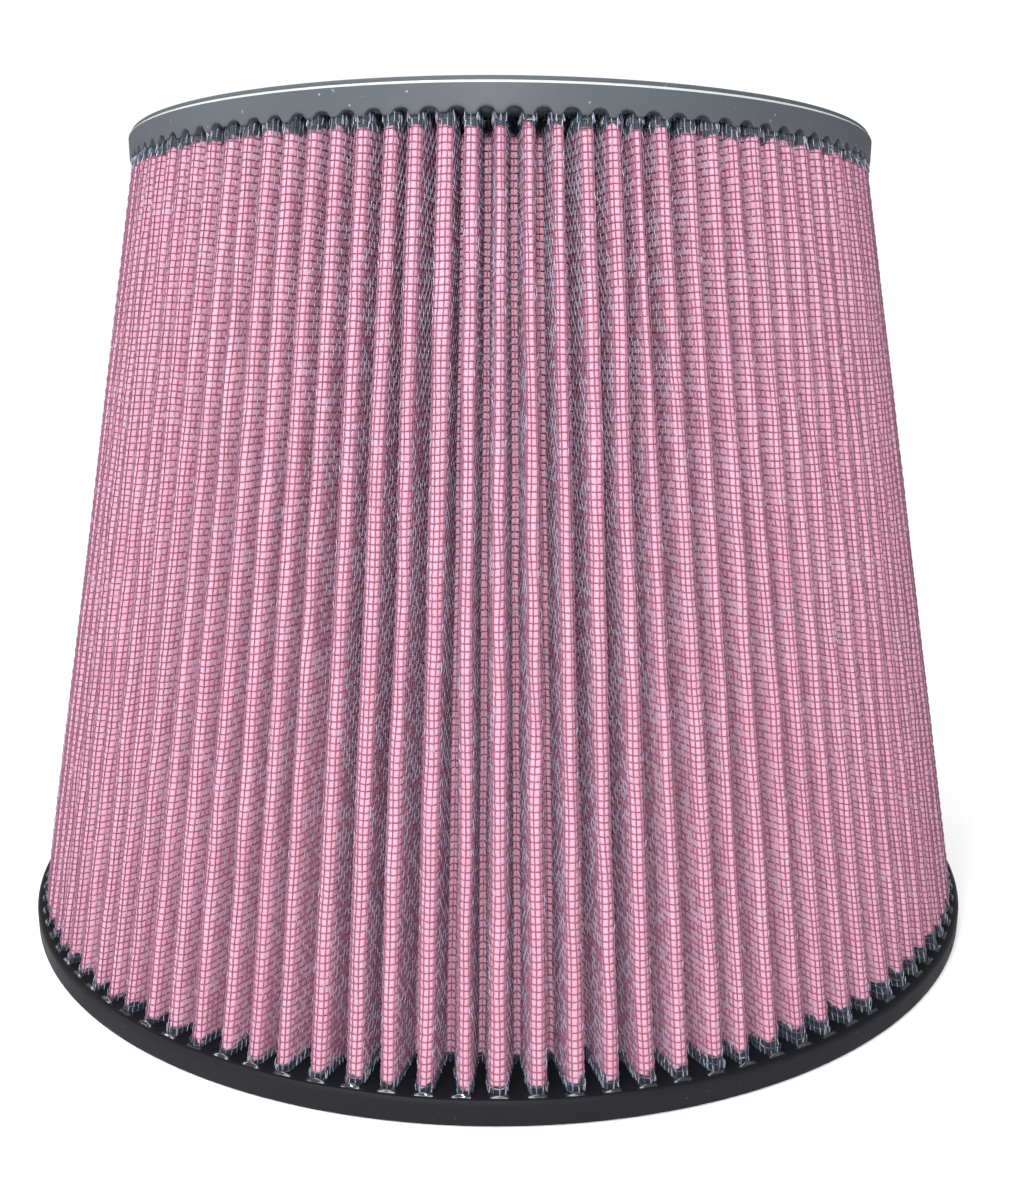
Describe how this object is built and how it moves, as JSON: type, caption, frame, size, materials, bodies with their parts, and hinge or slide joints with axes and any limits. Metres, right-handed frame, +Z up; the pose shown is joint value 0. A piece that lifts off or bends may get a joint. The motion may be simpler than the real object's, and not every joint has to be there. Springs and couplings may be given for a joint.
{
  "type": "air filter",
  "caption": "Round tapered air filter with a pleated gauze and wire-cloth wall, a closed moulded top cap and an open moulded base ring.",
  "frame": {"origin": "centre of the base ring's resting face", "axes": "+Z up the filter's axis from the base ring to the top cap, -Y towards the front of the picture, the blanket's seam on the +Y side"},
  "size_m": [0.28, 0.28, 0.2146],
  "materials": {
    "cap_urethane": "satin",
    "ring_urethane": "satin",
    "coated_wire": "gloss",
    "oiled_gauze": "matte",
    "plate_aluminium": "satin",
    "clip_aluminium": "satin"
  },
  "bodies": {
    "root": {"top_cap": "cap_urethane", "top_stiffener_plate": "plate_aluminium", "base_ring": "ring_urethane", "outer_screen": "coated_wire", "gauze_ply_1": "oiled_gauze", "gauze_ply_2": "oiled_gauze", "gauze_ply_3": "oiled_gauze", "gauze_ply_4": "oiled_gauze", "inner_screen": "coated_wire", "seam_clip": "clip_aluminium"}
  },
  "joints": []
}
